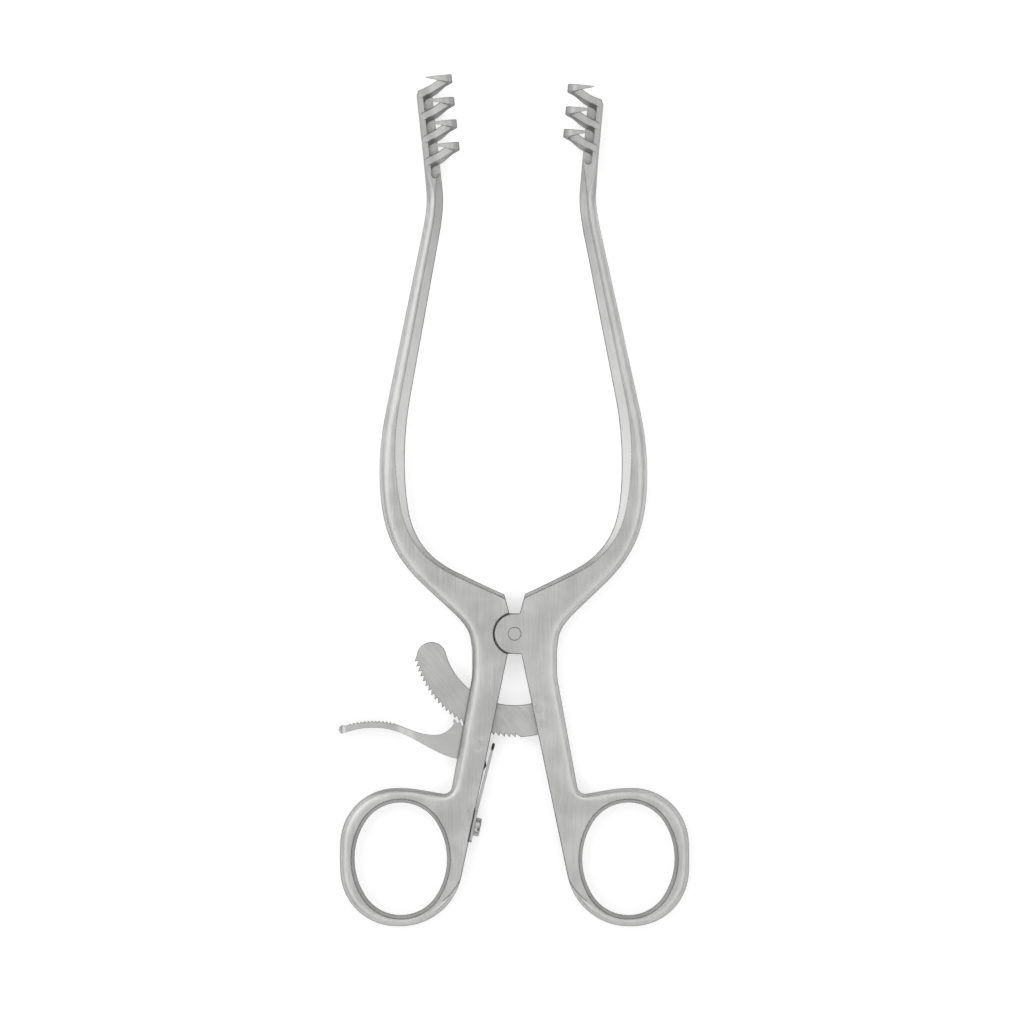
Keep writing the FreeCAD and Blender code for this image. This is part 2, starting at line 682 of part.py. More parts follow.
def pawl_teeth():
    """Edge of the lever's head that faces the bar: small teeth that fit the bar's gaps."""
    degrees = 180 / (math.pi * TOOTH_TIP_RADIUS)
    crest = TOOTH_TIP_RADIUS + PAWL_CREST_CLEARANCE
    tip = TOOTH_TIP_RADIUS - PAWL_ENGAGE
    ramp_share = (TOOTH_DEPTH - PAWL_ENGAGE - PAWL_RAMP_CLEARANCE) / TOOTH_DEPTH
    first_gap = round((PAWL_ANGLE - FIRST_TOOTH) / TOOTH_PITCH)
    points = []
    for index in range(PAWL_TEETH):
        gap_start = FIRST_TOOTH + (first_gap + index) * TOOTH_PITCH
        steep = gap_start + TOOTH_LEAN / 2 + PAWL_FACE_CLEARANCE * degrees
        ramp = gap_start + TOOTH_LEAN + (TOOTH_PITCH - TOOTH_LEAN) * ramp_share
        points.append(polar(crest, steep))
        points.append(polar(tip, steep))
        points.append(polar(tip, ramp))
    gap_end = FIRST_TOOTH + (first_gap + PAWL_TEETH) * TOOTH_PITCH
    points.append(polar(crest, gap_end))
    points.append(polar(crest, (gap_end + PAWL_HEEL_ANGLE) / 2))
    points.append(polar(crest, PAWL_HEEL_ANGLE))
    return [lever_to_rest(point) for point in points]


def release_lever():
    """Thumb pad, curved neck and flat head with the pawl teeth and the spring tail, in one piece."""
    teeth = pawl_teeth()
    top_points = [from_pin(point) for point in LEVER_TOP]
    bottom_points = [from_pin(point) for point in LEVER_BOTTOM]
    top = Part.BSplineCurve()
    top.interpolate(top_points)
    bottom = Part.BSplineCurve()
    bottom.interpolate(bottom_points)
    edges = [top.toShape(), line(top_points[-1], teeth[0])]
    edges += [line(a, b) for a, b in zip(teeth, teeth[1:])]
    tail = [teeth[-1], from_pin(TAIL_TOP), tail_tip(), from_pin(TAIL_FOOT), bottom_points[-1]]
    edges += [line(a, b) for a, b in zip(tail, tail[1:])]
    edges.append(bottom.toShape())
    edges.append(Part.Arc(bottom_points[0], from_pin(PAD_END), top_points[0]).toShape())
    outline = Part.Wire(Part.__sortEdges__(edges))
    body = Part.Face(outline).extrude(V(0, 0, THICKNESS))
    body = body.common(lever_width())
    hole = Part.makeCylinder(LEVER_PIN_RADIUS + LEVER_PIN_CLEARANCE, THICKNESS, lever_pin_place())
    return body.cut(grip_grooves(top) + [hole])


def tail_tip():
    """Where the lever's tail stands just clear of the leaf spring's blade."""
    foot_end, bend, tip = spring_line()
    along = (tip - bend).normalize()
    beside = V(-along.y, along.x, 0) * (SPRING_THICKNESS / 2 + TAIL_CLEARANCE)
    return bend + (tip - bend) * TAIL_SHARE + beside


def lever_width():
    """Width of the lever from the front: a broad pad that narrows to the flat head."""
    half_pad = PAD_WIDTH / 2
    half_head = BAR_THICKNESS / 2
    pin = lever_pin_place()
    pad_end = pin.x + PAD_END[0] - half_head / 2
    neck_x = pin.x + PAD_NECK
    head_x = pin.x + HEAD_FROM
    middle = (neck_x + head_x) / 2
    edges = []
    for face in (1, -1):
        start = V(pad_end + half_pad, 0, face * half_pad)
        neck = V(neck_x, 0, face * half_pad)
        head = V(head_x, 0, face * half_head)
        bend = Part.BezierCurve()
        bend.setPoles([neck, V(middle, 0, face * half_pad), V(middle, 0, face * half_head), head])
        edges += [line(start, neck), bend.toShape(), line(head, V(0, 0, face * half_head))]
    edges.append(line(V(0, 0, half_head), V(0, 0, -half_head)))
    edges.append(Part.Arc(V(pad_end + half_pad, 0, half_pad), V(pad_end, 0, 0),
                          V(pad_end + half_pad, 0, -half_pad)).toShape())
    outline = Part.Wire(Part.__sortEdges__(edges))
    return Part.Face(outline).extrude(V(0, 2 * pin.y, 0)).translate(V(0, 0, MID))


def grip_grooves(top):
    """Row of round-bottomed grooves across the top of the thumb pad."""
    pin = lever_pin_place()
    grooves = []
    for index in range(GRIP_COUNT):
        x = pin.x + GRIP_START + index * GRIP_PITCH
        foot = top.intersect(Part.LineSegment(V(x, 0, 0), V(x, 2 * pin.y, 0)))[0]
        centre = V(foot.X, foot.Y + GRIP_RADIUS - GRIP_DEPTH, 0)
        grooves.append(Part.makeCylinder(GRIP_RADIUS, THICKNESS, centre))
    return grooves


def shank_edge_frame():
    """A point on the left shank's inner edge by height, its direction down and the way out."""
    down = V(-SHANK_SPLAY, -1, 0).normalize()
    out = V(-down.y, down.x, 0)

    def at(height):
        return plan(LEFT, (shank_inner_edge(height), height))
    return at, down, out


def spring_line():
    """Middle line of the leaf spring: the foot's end, the bend where it leaves the shank, and the tip."""
    at, down, out = shank_edge_frame()
    foot_end = at(SPRING_FOOT_END) + out * (SPRING_SEAT + SPRING_THICKNESS / 2)
    bend = foot_end - down * SPRING_FOOT_LENGTH
    return foot_end, bend, from_pin(SPRING_TIP)


def leaf_spring():
    """Flat foot on the shank's edge, then a straight blade that stands off to press the lever's tail."""
    at, down, out = shank_edge_frame()
    foot_end, bend, tip = spring_line()
    half = SPRING_THICKNESS / 2
    first = V(-(bend - foot_end).y, (bend - foot_end).x, 0).normalize()
    second = V(-(tip - bend).y, (tip - bend).x, 0).normalize()
    mitre = (first + second).normalize()
    mitre = mitre * (half / mitre.dot(first))
    left, right = [[foot_end + first * half * sign, bend + mitre * sign, tip + second * half * sign]
                   for sign in (1, -1)]
    tip_end = tip + (tip - bend).normalize() * half
    edges = [line(left[0], left[1]), line(left[1], left[2]), Part.Arc(left[2], tip_end, right[2]).toShape(),
             line(right[2], right[1]), line(right[1], right[0]), line(right[0], left[0])]
    strip = slab(edges, SPRING_WIDTH)
    centre = at(SCREW_HEIGHT) + V(0, 0, MID)
    hole = Part.makeCylinder(SCREW_RADIUS + SPRING_HOLE_CLEARANCE, SPRING_THICKNESS * 3, centre - out, out)
    return strip.cut(hole)


def spring_screw():
    """Slotted cheese-head screw through the spring's foot into the shank."""
    at, down, out = shank_edge_frame()
    seat = at(SCREW_HEIGHT) + out * (SPRING_SEAT * 2 + SPRING_THICKNESS) + V(0, 0, MID)
    head = Part.makeCylinder(SCREW_HEAD_RADIUS, SCREW_HEAD_HEIGHT, seat, out)
    rim = [edge for edge in head.Edges if (edge.CenterOfMass - seat).dot(out) > SCREW_HEAD_HEIGHT / 2
           and isinstance(edge.Curve, Part.Circle)]
    head = head.makeChamfer(SCREW_RIM, rim)
    shank = Part.makeCylinder(SCREW_RADIUS, SCREW_LENGTH, seat, out * -1)
    top = seat + out * SCREW_HEAD_HEIGHT
    slot = Part.makeBox(3 * SCREW_HEAD_RADIUS, SCREW_SLOT_WIDTH, SCREW_SLOT_DEPTH * 2,
                        V(-1.5 * SCREW_HEAD_RADIUS, -SCREW_SLOT_WIDTH / 2, -SCREW_SLOT_DEPTH))
    slot.Placement = FreeCAD.Placement(top, FreeCAD.Rotation(V(0, 0, 1), out)).multiply(slot.Placement)
    return head.fuse(shank).cut(slot)


def left_arm():
    arm = forged_arm(LEFT)
    at, down, out = shank_edge_frame()
    pin_hole = Part.makeCylinder(LEVER_PIN_RADIUS, THICKNESS, lever_pin_place())
    seat = at(SCREW_HEIGHT) + V(0, 0, MID)
    screw_hole = Part.makeCylinder(SCREW_RADIUS, SCREW_LENGTH, seat + out * SPRING_THICKNESS, out * -1)
    return arm.cut([lever_slot(), pin_hole, screw_hole])


def right_arm():
    arm = forged_arm(RIGHT).cut(bar_pocket())
    holes = [Part.makeCylinder(BAR_RIVET_RADIUS, THICKNESS, place) for place in bar_rivet_places()]
    return arm.cut(holes)


def flush_pin(radius, place):
    return Part.makeCylinder(radius, THICKNESS, place)


def main():
    os.makedirs("parts", exist_ok=True)
    upper, lower = bar_rivet_places()
    pieces = {
        "left_arm": left_arm(),
        "right_arm": right_arm(),
        "joint_rivet": rivet_solid(0.0),
        "ratchet_bar": ratchet_bar(),
        "bar_rivet_upper": flush_pin(BAR_RIVET_RADIUS, upper),
        "bar_rivet_lower": flush_pin(BAR_RIVET_RADIUS, lower),
        "release_lever": release_lever(),
        "lever_pin": flush_pin(LEVER_PIN_RADIUS, lever_pin_place()),
        "leaf_spring": leaf_spring(),
        "spring_screw": spring_screw(),
    }
    for name, shape in pieces.items():
        shape = shape.removeSplitter()
        solids = shape.Solids
        print(name, shape.isValid(), len(solids), round(shape.Volume, 2), shape.BoundBox)
        if len(solids) == 1:
            shape = solids[0]
        shape.exportStep("parts/" + name + ".step")


main()
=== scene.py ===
# %% [markdown]
# Self retaining retractor: looks
#
# The instrument is all stainless steel, so its looks come from finish and light and not from
# colour. The forgings are satin brushed along their length, the bar is flat ground across its
# width, and small steel parts sit flush or stand proud of them. This script loads the packed
# solids, gives each finish its own material and rebuilds the one part that really bends.

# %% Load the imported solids
import json
import math

import bmesh
import bpy
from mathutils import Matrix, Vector


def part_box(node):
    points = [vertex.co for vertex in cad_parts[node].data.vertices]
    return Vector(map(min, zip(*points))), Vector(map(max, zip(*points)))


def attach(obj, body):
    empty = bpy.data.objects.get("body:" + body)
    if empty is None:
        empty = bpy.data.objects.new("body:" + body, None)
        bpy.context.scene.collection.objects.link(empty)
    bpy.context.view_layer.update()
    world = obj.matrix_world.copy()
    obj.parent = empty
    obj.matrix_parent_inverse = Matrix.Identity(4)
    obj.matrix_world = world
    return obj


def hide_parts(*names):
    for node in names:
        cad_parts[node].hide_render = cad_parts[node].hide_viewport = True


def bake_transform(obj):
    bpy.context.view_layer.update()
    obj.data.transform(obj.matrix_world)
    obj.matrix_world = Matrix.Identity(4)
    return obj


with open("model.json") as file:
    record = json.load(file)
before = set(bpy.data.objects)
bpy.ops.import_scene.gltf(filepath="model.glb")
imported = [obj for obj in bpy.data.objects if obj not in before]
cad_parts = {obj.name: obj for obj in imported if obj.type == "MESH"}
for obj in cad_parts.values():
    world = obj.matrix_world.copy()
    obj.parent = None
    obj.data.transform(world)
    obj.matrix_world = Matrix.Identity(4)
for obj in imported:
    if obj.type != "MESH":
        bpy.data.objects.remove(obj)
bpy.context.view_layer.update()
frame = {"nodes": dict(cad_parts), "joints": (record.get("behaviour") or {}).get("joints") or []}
nodes = frame["nodes"]
MM = 0.001


print("pieces:", sorted(nodes))

# %% [markdown]
# The camera
#
# The photograph looks straight down at the instrument from far off, so its sides don't show.
# A long lens two metres above gives that look. The frame is a square 240 mm wide.

# %% Camera straight above
FRAME_WIDTH = 240.2 * MM
FRAME_CENTRE = (-0.61 * MM, 28.53 * MM)
CAMERA_HEIGHT = 2.0
MIDDLE_HEIGHT = 2.5 * MM
SENSOR = 36.0

camera_data = bpy.data.cameras.new("studio_camera")
camera_data.sensor_width = SENSOR
camera_data.lens = SENSOR * (CAMERA_HEIGHT - MIDDLE_HEIGHT) / FRAME_WIDTH
camera_data.clip_end = 50.0
camera = bpy.data.objects.new("studio_camera", camera_data)
camera.location = (FRAME_CENTRE[0], FRAME_CENTRE[1], CAMERA_HEIGHT)
bpy.context.scene.collection.objects.link(camera)
bpy.context.scene.camera = camera
bpy.context.scene.view_settings.view_transform = "Standard"
print("lens", round(camera_data.lens), "mm")

# %% [markdown]
# Small helpers for shader trees
#
# Every finish below is built from the same few kinds of nodes. One helper places a node with
# its settings and another joins two sockets, so that each recipe reads from top to bottom.


# %% Helpers that place and join nodes
def place(tree, kind, **settings):
    """A new node; settings are its properties, or its inputs by name with spaces as underscores."""
    node = tree.nodes.new(kind)
    for name, value in settings.items():
        if hasattr(node, name):
            setattr(node, name, value)
        else:
            node.inputs[name.replace("_", " ")].default_value = value
    return node


def join(tree, source, target):
    tree.links.new(source, target)


def math_node(tree, operation, first, second=None):
    """An arithmetic node fed by sockets or numbers; gives its output."""
    node = place(tree, "ShaderNodeMath", operation=operation)
    for socket, value in zip(node.inputs, (first, second)):
        if value is None:
            continue
        if isinstance(value, (int, float)):
            socket.default_value = value
        else:
            join(tree, value, socket)
    return node.outputs[0]


def vector_node(tree, operation, first, second=None):
    """A vector node fed by sockets or fixed vectors; gives its number or its vector."""
    node = place(tree, "ShaderNodeVectorMath", operation=operation)
    for socket, value in zip(node.inputs, (first, second)):
        if isinstance(value, bpy.types.NodeSocket):
            join(tree, value, socket)
        elif value is not None:
            socket.default_value = value
    gives_number = operation in ("DOT_PRODUCT", "LENGTH", "DISTANCE")
    return node.outputs["Value" if gives_number else "Vector"]


# %% [markdown]
# Ramps and mixes
#
# Two more steps come back in every finish. A ramp turns one measure into a share, such as a
# height into how far a point is up the blade, and a mix lays one colour over another by a share.


# %% Helpers that ramp and mix
def ramp(tree, value, ends, low=0.0, high=1.0, smooth=False):
    """Maps a socket's value between two ends to low and high, straight or with soft ends."""
    node = place(tree, "ShaderNodeMapRange", From_Min=ends[0], From_Max=ends[1], To_Min=low, To_Max=high)
    if smooth:
        node.interpolation_type = "SMOOTHSTEP"
    join(tree, value, node.inputs["Value"])
    return node.outputs["Result"]


def apart(tree, vector):
    """The three parts of a vector socket, under their names X, Y and Z."""
    node = place(tree, "ShaderNodeSeparateXYZ")
    join(tree, vector, node.inputs[0])
    return node.outputs


def mix_colours(tree, share, below, above, way="MIX"):
    """Lays a colour over another by a share; each colour is a socket or three numbers."""
    node = place(tree, "ShaderNodeMix", data_type="RGBA", blend_type=way)
    join(tree, share, node.inputs[0])
    for socket, colour in ((node.inputs[6], below), (node.inputs[7], above)):
        if isinstance(colour, bpy.types.NodeSocket):
            join(tree, colour, socket)
        else:
            socket.default_value = (*colour, 1)
    return node.outputs[2]


def new_group(name, inputs, outputs):
    """A shader node group with named inputs (name, kind, value) and outputs (name, kind)."""
    group = bpy.data.node_groups.new(name, "ShaderNodeTree")
    for label, kind, value in inputs:
        socket = group.interface.new_socket(name=label, in_out="INPUT", socket_type=kind)
        if value is not None:
            socket.default_value = value
    for label, kind in outputs:
        group.interface.new_socket(name=label, in_out="OUTPUT", socket_type=kind)
    return group, group.nodes.new("NodeGroupInput"), group.nodes.new("NodeGroupOutput")


# %% [markdown]
# The light round the instrument
#
# Satin steel mirrors whatever stands round it, softly. A photographer therefore lights the air
# and not the metal. Straight above hangs a mid-grey sheet, which the flats show. Round it runs
# a bright belt, which the rounded edges show as a pale band. Lower down is a dark belt, which
# draws the dark outline, and lowest of all the white sweep of the backdrop. The world holds
# all four as a ramp over height, so nothing in it depends on where the camera stands.

# %% World as a light tent
world = bpy.data.worlds.new("light_tent")
world.use_nodes = True
bpy.context.scene.world = world
TENT_BELTS = [(0.0, 1.0), (0.07, 1.0), (0.11, 0.06), (0.34, 0.1), (0.5, 0.5), (0.66, 1.45),
              (0.8, 1.2), (0.93, 0.66), (0.98, 0.5), (1.0, 0.46)]

tree = world.node_tree
tree.nodes.clear()
direction = place(tree, "ShaderNodeTexCoord").outputs["Generated"]
tent = place(tree, "ShaderNodeValToRGB")
belts = tent.color_ramp.elements
while len(belts) < len(TENT_BELTS):
    belts.new(0.5)
for belt, (height, level) in zip(belts, TENT_BELTS):
    belt.position = height
    belt.color = (level, level, level, 1)
join(tree, apart(tree, direction)["Z"], tent.inputs[0])
tent_light = place(tree, "ShaderNodeBackground")
join(tree, tent.outputs[0], tent_light.inputs["Color"])
output = place(tree, "ShaderNodeOutputWorld")
join(tree, tent_light.outputs[0], output.inputs["Surface"])
print("belts of the tent:", len(belts))

# %% [markdown]
# One lamp
#
# The tent alone is even all round. One wide, weak panel up to the left lifts the flanks that
# face it, and lays a faint shadow on the floor, without a hard reflection.


# %% Lamp
def panel(name, place_at, aim, size, power):
    """A wide soft lamp that faces a point."""
    lamp = bpy.data.lights.new(name, "AREA")
    lamp.shape = "RECTANGLE"
    lamp.size, lamp.size_y = size
    lamp.energy = power
    stand = bpy.data.objects.new(name, lamp)
    stand.location = place_at
    stand.rotation_euler = (Vector(aim) - Vector(place_at)).to_track_quat("-Z", "Y").to_euler()
    bpy.context.scene.collection.objects.link(stand)
    print(name, power, "W")


OBJECT_MIDDLE = (0.0, 0.03, 0.0)
panel("panel_left", (-0.85, 0.6, 1.0), OBJECT_MIDDLE, (0.9, 0.9), 1.6)

# %% [markdown]
# The white floor
#
# The instrument lies on white paper, which the photograph shows as pure white with a faint
# shadow. The paper's own colour stays a real paper's. A little light is added only where the
# camera or a mirror of the steel sees it, so that it reads white and lights nothing.

# %% Floor
FLOOR_HALF = 4.0
FLOOR_DROP = 0.05 * MM
floor_mesh = bpy.data.meshes.new("floor")
FLOOR_TURN = ((-1, -1), (1, -1), (1, 1), (-1, 1))
floor_corners = [(x * FLOOR_HALF, y * FLOOR_HALF, -FLOOR_DROP) for x, y in FLOOR_TURN]
floor_mesh.from_pydata(floor_corners, [], [(0, 1, 2, 3)])
floor = bpy.data.objects.new("floor", floor_mesh)
bpy.context.scene.collection.objects.link(floor)

floor_finish = bpy.data.materials.new("floor_white")
floor_finish.use_nodes = True
floor_mesh.materials.append(floor_finish)
tree = floor_finish.node_tree
paper = tree.nodes["Principled BSDF"]
paper.inputs["Base Color"].default_value = (0.8, 0.8, 0.8, 1)
paper.inputs["Roughness"].default_value = 0.9
paper.inputs["Specular IOR Level"].default_value = 0.0
paper.inputs["Emission Color"].default_value = (1, 1, 1, 1)
FLOOR_LIFT = 0.5
path = place(tree, "ShaderNodeLightPath")
seen = math_node(tree, "MAXIMUM", path.outputs["Is Camera Ray"], path.outputs["Is Glossy Ray"])
seen = math_node(tree, "MAXIMUM", seen, path.outputs["Is Transmission Ray"])
join(tree, math_node(tree, "MULTIPLY", seen, FLOOR_LIFT), paper.inputs["Emission Strength"])
print("floor", 2 * FLOOR_HALF, "m wide")

# %% [markdown]
# Grain left by brushing and grinding
#
# A brushed finish is thousands of fine parallel scratches. Noise stretched far along one
# direction gives them. The group turns the surface's coordinates so that the strokes follow
# the maker's hand, then mixes long fine strokes with a shorter, finer peening, which is the
# glass-bead blast that makes surgical steel dull. It gives a tone and a height.

# %% Group: brushed grain
grain, given, made = new_group(
    "brushed_grain",
    [("Position", "NodeSocketVector", None), ("Turn", "NodeSocketFloat", 0.0),
     ("Stroke Length", "NodeSocketFloat", 6.0), ("Stroke Width", "NodeSocketFloat", 0.12),
     ("Blast Size", "NodeSocketFloat", 0.16), ("Blast Share", "NodeSocketFloat", 0.5)],
    [("Tone", "NodeSocketFloat"), ("Height", "NodeSocketFloat")])
GRAIN_CONTRAST = (0.3, 0.7)
turn = place(grain, "ShaderNodeVectorRotate", rotation_type="Z_AXIS")
join(grain, given.outputs["Position"], turn.inputs["Vector"])
join(grain, given.outputs["Turn"], turn.inputs["Angle"])
across = math_node(grain, "DIVIDE", 1.0 / MM, given.outputs["Stroke Width"])
along = math_node(grain, "DIVIDE", 1.0 / MM, given.outputs["Stroke Length"])
rate = place(grain, "ShaderNodeCombineXYZ")
join(grain, across, rate.inputs["X"])
join(grain, along, rate.inputs["Y"])
join(grain, across, rate.inputs["Z"])
stretched = vector_node(grain, "MULTIPLY", turn.outputs[0], rate.outputs[0])
strokes = place(grain, "ShaderNodeTexNoise", Scale=1.0, Detail=4.0, Roughness=0.65)
join(grain, stretched, strokes.inputs["Vector"])
blast = place(grain, "ShaderNodeTexNoise", Detail=2.0, Roughness=0.6)
join(grain, given.outputs["Position"], blast.inputs["Vector"])
join(grain, math_node(grain, "DIVIDE", 1.0 / MM, given.outputs["Blast Size"]), blast.inputs["Scale"])
both = place(grain, "ShaderNodeMix", data_type="FLOAT")
join(grain, given.outputs["Blast Share"], both.inputs[0])
join(grain, strokes.outputs["Fac"], both.inputs[2])
join(grain, blast.outputs["Fac"], both.inputs[3])
join(grain, both.outputs[0], made.inputs["Height"])
join(grain, ramp(grain, both.outputs[0], GRAIN_CONTRAST), made.inputs["Tone"])
print("group:", grain.name)

# %% [markdown]
# Marks of use
#
# Steel that has been washed and handled is never even. Broad faint clouds of dullness lie where
# it dried, and a few hairline scratches cross the flats. The clouds are low noise, and the
# scratches are the thin lines where a stretched noise crosses its middle. Both stay weak.

# %% Group: handling
handling, given, made = new_group(
    "handling",
    [("Position", "NodeSocketVector", None), ("Cloud Size", "NodeSocketFloat", 9.0)],
    [("Cloud", "NodeSocketFloat"), ("Scratch", "NodeSocketFloat")])
CLOUD_CONTRAST = (0.35, 0.65)
SCRATCH_TURN = 0.9
SCRATCH_SCALE = 170.0
SCRATCH_STRETCH = (1.0, 0.08, 1.0)
SCRATCH_THIN = 0.004
SCRATCH_WHERE = 0.55
cloud = place(handling, "ShaderNodeTexNoise", Detail=3.0, Roughness=0.55)
join(handling, given.outputs["Position"], cloud.inputs["Vector"])
join(handling, math_node(handling, "DIVIDE", 1.0 / MM, given.outputs["Cloud Size"]), cloud.inputs["Scale"])
join(handling, ramp(handling, cloud.outputs["Fac"], CLOUD_CONTRAST), made.inputs["Cloud"])
tilt = place(handling, "ShaderNodeVectorRotate", rotation_type="Z_AXIS", Angle=SCRATCH_TURN)
join(handling, given.outputs["Position"], tilt.inputs["Vector"])
lines = place(handling, "ShaderNodeTexNoise", Scale=SCRATCH_SCALE, Detail=1.0)
join(handling, vector_node(handling, "MULTIPLY", tilt.outputs[0], SCRATCH_STRETCH), lines.inputs["Vector"])
from_middle = math_node(handling, "ABSOLUTE", math_node(handling, "SUBTRACT", lines.outputs["Fac"], 0.5))
thin = ramp(handling, from_middle, (0.0, SCRATCH_THIN), 1.0, 0.0)
broken = math_node(handling, "GREATER_THAN", cloud.outputs["Fac"], SCRATCH_WHERE)
join(handling, math_node(handling, "MULTIPLY", thin, broken), made.inputs["Scratch"])
print("group:", handling.name)

# %% [markdown]
# Broken edges
#
# No edge on an instrument is left sharp: a fine stone breaks it, and the narrow land it leaves
# mirrors the dark low part of the tent, so that crisp edges show as thin dark lines. That dark
# reflection is also painted: the recipe darkens the lands' colour by the mask made here. The Bevel
# node rounds the normal near an edge. Where that normal leaves the face's own one there is an
# edge, and the difference serves as its mask. The rounded normal also feeds the bump.

# %% Group: eased edge
eased, given, made = new_group(
    "eased_edge",
    [("Radius", "NodeSocketFloat", 0.12)],
    [("Edge", "NodeSocketFloat"), ("Normal", "NodeSocketVector")])
EDGE_LIKENESS = (0.998, 0.97)
bevel = place(eased, "ShaderNodeBevel", samples=6)
join(eased, math_node(eased, "MULTIPLY", given.outputs["Radius"], MM), bevel.inputs["Radius"])
facing = place(eased, "ShaderNodeNewGeometry")
alike = vector_node(eased, "DOT_PRODUCT", bevel.outputs[0], facing.outputs["Normal"])
join(eased, ramp(eased, alike, EDGE_LIKENESS), made.inputs["Edge"])
join(eased, bevel.outputs[0], made.inputs["Normal"])
print("group:", eased.name)

# %% [markdown]
# The crown of the forged arms
#
# On the outer side the arms have no crisp edge at all. The belt rolls the flat into the
# rounding over some three millimetres, which gives the broad soft light along the shanks and
# rings. The group widens the rounding's normals with a large Bevel radius, and only where they
# lean outwards: away from the instrument's middle line, or on a finger ring away from the
# middle of its hole. Inner edges and the hole's edge stay crisp, and so do the flat joint, the
# blades and the shank's inner edge beside its ring. All these places are in metres, on the
# resting instrument, and a pair of numbers says where a share begins and where it is full.

# %% Group: outer crown
RING_MIDDLE = (0.0267, -0.0528)
RING_FROM = (-0.036, -0.041)
OUTWARDS = (0.0, 0.0012)
FACING_UP = (0.3, 0.7)
JOINT_FLAT = (0.006, 0.009)
CROWN_END = (0.104, 0.098)
SHANK_END = (-0.036, -0.039)
SHANK_END_REACH = (0.0195, 0.0165)

crown, given, made = new_group(
    "outer_crown",
    [("Position", "NodeSocketVector", None), ("Edge Normal", "NodeSocketVector", None),
     ("Radius", "NodeSocketFloat", 3.2)],
    [("Normal", "NodeSocketVector")])
wide = place(crown, "ShaderNodeBevel", samples=8)
join(crown, math_node(crown, "MULTIPLY", given.outputs["Radius"], MM), wide.inputs["Radius"])
resting = place(crown, "ShaderNodeVectorTransform", vector_type="NORMAL",
                convert_from="WORLD", convert_to="OBJECT")
join(crown, wide.outputs[0], resting.inputs[0])
lean = apart(crown, resting.outputs[0])
spot = apart(crown, given.outputs["Position"])

on_ring = ramp(crown, spot["Y"], RING_FROM, smooth=True)
hand = math_node(crown, "SIGN", spot["X"])
middle_x = math_node(crown, "MULTIPLY", hand, RING_MIDDLE[0])
middle_x = math_node(crown, "MULTIPLY", middle_x, on_ring)
from_middle_x = math_node(crown, "SUBTRACT", spot["X"], middle_x)
from_middle_y = math_node(crown, "SUBTRACT", spot["Y"], RING_MIDDLE[1])
out_x = math_node(crown, "MULTIPLY", from_middle_x, lean["X"])
out_y = math_node(crown, "MULTIPLY", from_middle_y, lean["Y"])
out_y = math_node(crown, "MULTIPLY", out_y, on_ring)
outwards = ramp(crown, math_node(crown, "ADD", out_x, out_y), OUTWARDS, smooth=True)

flat = ramp(crown, math_node(crown, "ABSOLUTE", lean["Z"]), FACING_UP, smooth=True)
from_joint = vector_node(crown, "LENGTH", given.outputs["Position"])
past_joint = ramp(crown, from_joint, JOINT_FLAT, smooth=True)
before_blade = ramp(crown, spot["Y"], CROWN_END, smooth=True)
low_down = ramp(crown, spot["Y"], SHANK_END, smooth=True)
inner_side = ramp(crown, math_node(crown, "ABSOLUTE", spot["X"]), SHANK_END_REACH, smooth=True)
beside_shank = math_node(crown, "MULTIPLY", low_down, inner_side)
share = math_node(crown, "MULTIPLY", outwards, past_joint)
share = math_node(crown, "MULTIPLY", share, before_blade)
share = math_node(crown, "MULTIPLY", share, math_node(crown, "SUBTRACT", 1.0, beside_shank))
share = math_node(crown, "MULTIPLY", share, flat)
blended = place(crown, "ShaderNodeMix", data_type="VECTOR")
join(crown, share, blended.inputs[0])
join(crown, given.outputs["Edge Normal"], blended.inputs[4])
join(crown, wide.outputs[0], blended.inputs[5])
join(crown, vector_node(crown, "NORMALIZE", blended.outputs[1]), made.inputs["Normal"])
print("group:", crown.name)

# %% [markdown]
# Pins ground over
#
# The pins of the bar and the lever are peened into their countersinks and ground flush with
# the forging, and the photograph shows no trace of them. Only the joint rivet leaves a faint
# circle. This mask is 0 round those three pins and 1 elsewhere, so that no edge shows there.

# %% Group: ground over
PIN_REACH = (0.0013, 0.0017)
over, given, made = new_group(
    "ground_over",
    [("Position", "NodeSocketVector", None)],
    [("Open", "NodeSocketFloat")])
open_share = 1.0
for name in ("bar_rivet_upper", "bar_rivet_lower", "lever_pin"):
    pin_low, pin_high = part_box(name)
    away = vector_node(over, "SUBTRACT", given.outputs["Position"], (pin_low + pin_high) / 2)
    in_plan = vector_node(over, "MULTIPLY", away, (1, 1, 0))
    clear = ramp(over, vector_node(over, "LENGTH", in_plan), PIN_REACH)
    open_share = math_node(over, "MULTIPLY", clear, open_share)
join(over, open_share, made.inputs["Open"])
print("group:", over.name)

# %% [markdown]
# Painted shade on the sides of a forging
#
# The steep sides are painted darker than the front and the back: painted shade on the faces
# that stand upright. The mask is 0 where a surface faces the front or the back and 1 where it
# stands upright.

# %% Group: upright sides
STEEP = (0.8, 0.35)
upright, given, made = new_group(
    "painted_upright_shade",
    [("Facing", "NodeSocketVector", None)],
    [("Side", "NodeSocketFloat")])
facing_up = math_node(upright, "ABSOLUTE", apart(upright, given.outputs["Facing"])["Z"])
join(upright, ramp(upright, facing_up, STEEP, smooth=True), made.inputs["Side"])
print("group:", upright.name)

# %% [markdown]
# Steel, finished in six ways
#
# All six are the same metal, so one recipe makes them and the values set them apart: which way
# the strokes run, how coarse they are, how rough the surface is, and how dark. Two parts of the
# recipe come first. One lays the grain and the marks of use. The other gives a forging its
# crown, and narrows the broken edges on the blades and round the pins that are ground over.


# %% Parts of the recipe
BLADE_FROM = (0.103, 0.109)
BLADE_EDGE = 0.1


